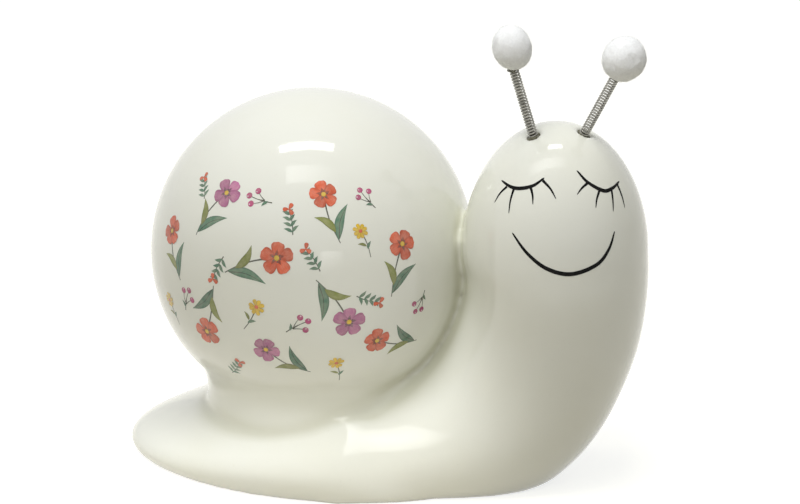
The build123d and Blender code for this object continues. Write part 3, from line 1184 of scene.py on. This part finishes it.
class SNAIL_OT_stage(Operator):
    """Sets the floor, the lights, the world and the camera"""

    bl_idname = "snail.stage"
    bl_label = "Stage"

    def execute(self, context):
        settings = context.scene.snail_stage
        gaze = Gaze(settings)
        bpy.ops.object.select_all(action="DESELECT")
        bpy.ops.mesh.primitive_plane_add(size=settings.floor_size)
        floor = named("floor")
        floor.data.materials.append(floor_finish(settings).material)
        low, high = CAD_BOX
        middle = (Vector(low) + Vector(high)) / 2
        self.panel_light("softbox", gaze, middle, SOFTBOX, settings.softbox_power)
        panel = self.panel_light("front_panel", gaze, middle, FRONT_PANEL, settings.panel_power)
        panel.visible_glossy = False
        self.foot_light(gaze, settings)
        aim, power, spread = settings.glint_aim, settings.glint_power, settings.window_spread
        self.window("foot_window", gaze, aim, FOOT_WINDOW, power, spread)
        aim, power = settings.brow_aim, settings.brow_power
        self.window("brow_window", gaze, aim, BROW_WINDOW, power, spread)
        self.world(context, settings)
        camera = bpy.data.objects.new("camera", bpy.data.cameras.new("camera"))
        camera.data.lens = settings.lens
        camera.data.sensor_width = SENSOR_WIDTH
        camera.data.sensor_fit = "HORIZONTAL"
        camera.data.clip_start = 0.01
        camera.matrix_world = gaze.matrix()
        context.scene.collection.objects.link(camera)
        context.scene.camera = camera
        context.scene.view_settings.view_transform = "Standard"
        return {"FINISHED"}

    def panel_light(self, name, gaze, aim, panel, power):
        """A flat light that faces a point from a direction."""
        way, distance, size = panel
        light = bpy.data.lights.new(name, "AREA")
        light.shape = "RECTANGLE"
        light.size, light.size_y = size
        light.energy = power
        return self.hang(light, gaze, aim, way, distance)

    def foot_light(self, gaze, settings):
        """A low, wide and soft cone of light on the near side of the foot."""
        light = bpy.data.lights.new("foot_light", "SPOT")
        light.energy = settings.foot_power
        light.spot_size = settings.foot_cone
        light.spot_blend = 1.0
        light.shadow_soft_size = settings.foot_bulb
        aim = Vector(settings.foot_aim)
        lamp = self.hang(light, gaze, aim, FOOT_LIGHT_WAY, FOOT_LIGHT_DISTANCE)
        squash = Matrix.Diagonal((1.0, FOOT_LIGHT_SQUASH, 1.0, 1.0))
        lamp.matrix_world = lamp.matrix_world @ squash
        lamp.visible_glossy = False

    def window(self, name, gaze, aim, panel, power, spread):
        """A small near window whose image shines in the glaze round a point."""
        lamp = self.panel_light(name, gaze, Vector(aim), panel, power)
        lamp.data.spread = spread
        lamp.visible_camera = False

    def hang(self, light, gaze, aim, way, distance):
        """Places a light that looks at a point from a direction and lies level with the picture."""
        lamp = bpy.data.objects.new(light.name, light)
        right, up, out = way
        back = (gaze.right * right + gaze.up * up + gaze.back * out).normalized()
        along = (gaze.right - back * gaze.right.dot(back)).normalized()
        turned = Matrix((along, back.cross(along), back)).transposed().to_4x4()
        lamp.matrix_world = Matrix.Translation(aim + back * distance) @ turned
        bpy.context.scene.collection.objects.link(lamp)
        return lamp

    def world(self, context, settings):
        """A white background, and a faint light all round."""
        world = bpy.data.worlds.new("studio")
        world.use_nodes = True
        context.scene.world = world
        nodes = Nodes(world.node_tree)
        background = world.node_tree.nodes["Background"]
        nodes.feed(background.inputs["Color"], opaque((1.0, 1.0, 1.0)))
        strength = nodes.background_rays() * (1.0 - settings.world) + settings.world
        nodes.feed(background.inputs["Strength"], strength)


class SNAIL_PT_panel(Panel):
    """Lists the snail's sizes, colours and pieces"""

    bl_idname = "SNAIL_PT_panel"
    bl_label = "Snail figurine"
    bl_space_type = "VIEW_3D"
    bl_region_type = "UI"
    bl_category = "Snail"

    def draw(self, context):
        for pointer, operators in PANEL_ROWS:
            box = self.layout.box()
            settings = getattr(context.scene, pointer)
            for name in settings.__annotations__:
                box.prop(settings, name)
            for operator in operators:
                box.operator(operator)


PANEL_ROWS = (
    ("snail_ceramic", ("snail.ceramic",)),
    ("snail_face", ("snail.painted_face",)),
    ("snail_print", ("snail.shell_print",)),
    ("snail_antenna", ("snail.springs", "snail.felted_balls", "snail.glue_beads")),
    ("snail_stage", ("snail.stage",)),
)

GROUPS = {
    "snail_ceramic": CeramicSettings,
    "snail_face": FaceSettings,
    "snail_print": PrintSettings,
    "snail_antenna": AntennaSettings,
    "snail_stage": StageSettings,
}

OPERATORS = (
    SNAIL_OT_ceramic,
    SNAIL_OT_painted_face,
    SNAIL_OT_shell_print,
    SNAIL_OT_springs,
    SNAIL_OT_felted_balls,
    SNAIL_OT_glue_beads,
    SNAIL_OT_stage,
)


def register():
    for pointer, group in GROUPS.items():
        bpy.utils.register_class(group)
        setattr(bpy.types.Scene, pointer, PointerProperty(type=group))
    for operator in OPERATORS:
        bpy.utils.register_class(operator)
    bpy.utils.register_class(SNAIL_PT_panel)


def unregister():
    bpy.utils.unregister_class(SNAIL_PT_panel)
    for operator in reversed(OPERATORS):
        bpy.utils.unregister_class(operator)
    for pointer, group in reversed(GROUPS.items()):
        delattr(bpy.types.Scene, pointer)
        bpy.utils.unregister_class(group)


def main():
    register()
    bpy.ops.snail.ceramic()
    bpy.ops.snail.painted_face()
    bpy.ops.snail.shell_print()
    bpy.ops.snail.springs()
    bpy.ops.snail.felted_balls()
    bpy.ops.snail.glue_beads()
    bpy.ops.snail.stage()


if __name__ == "__main__":
    main()
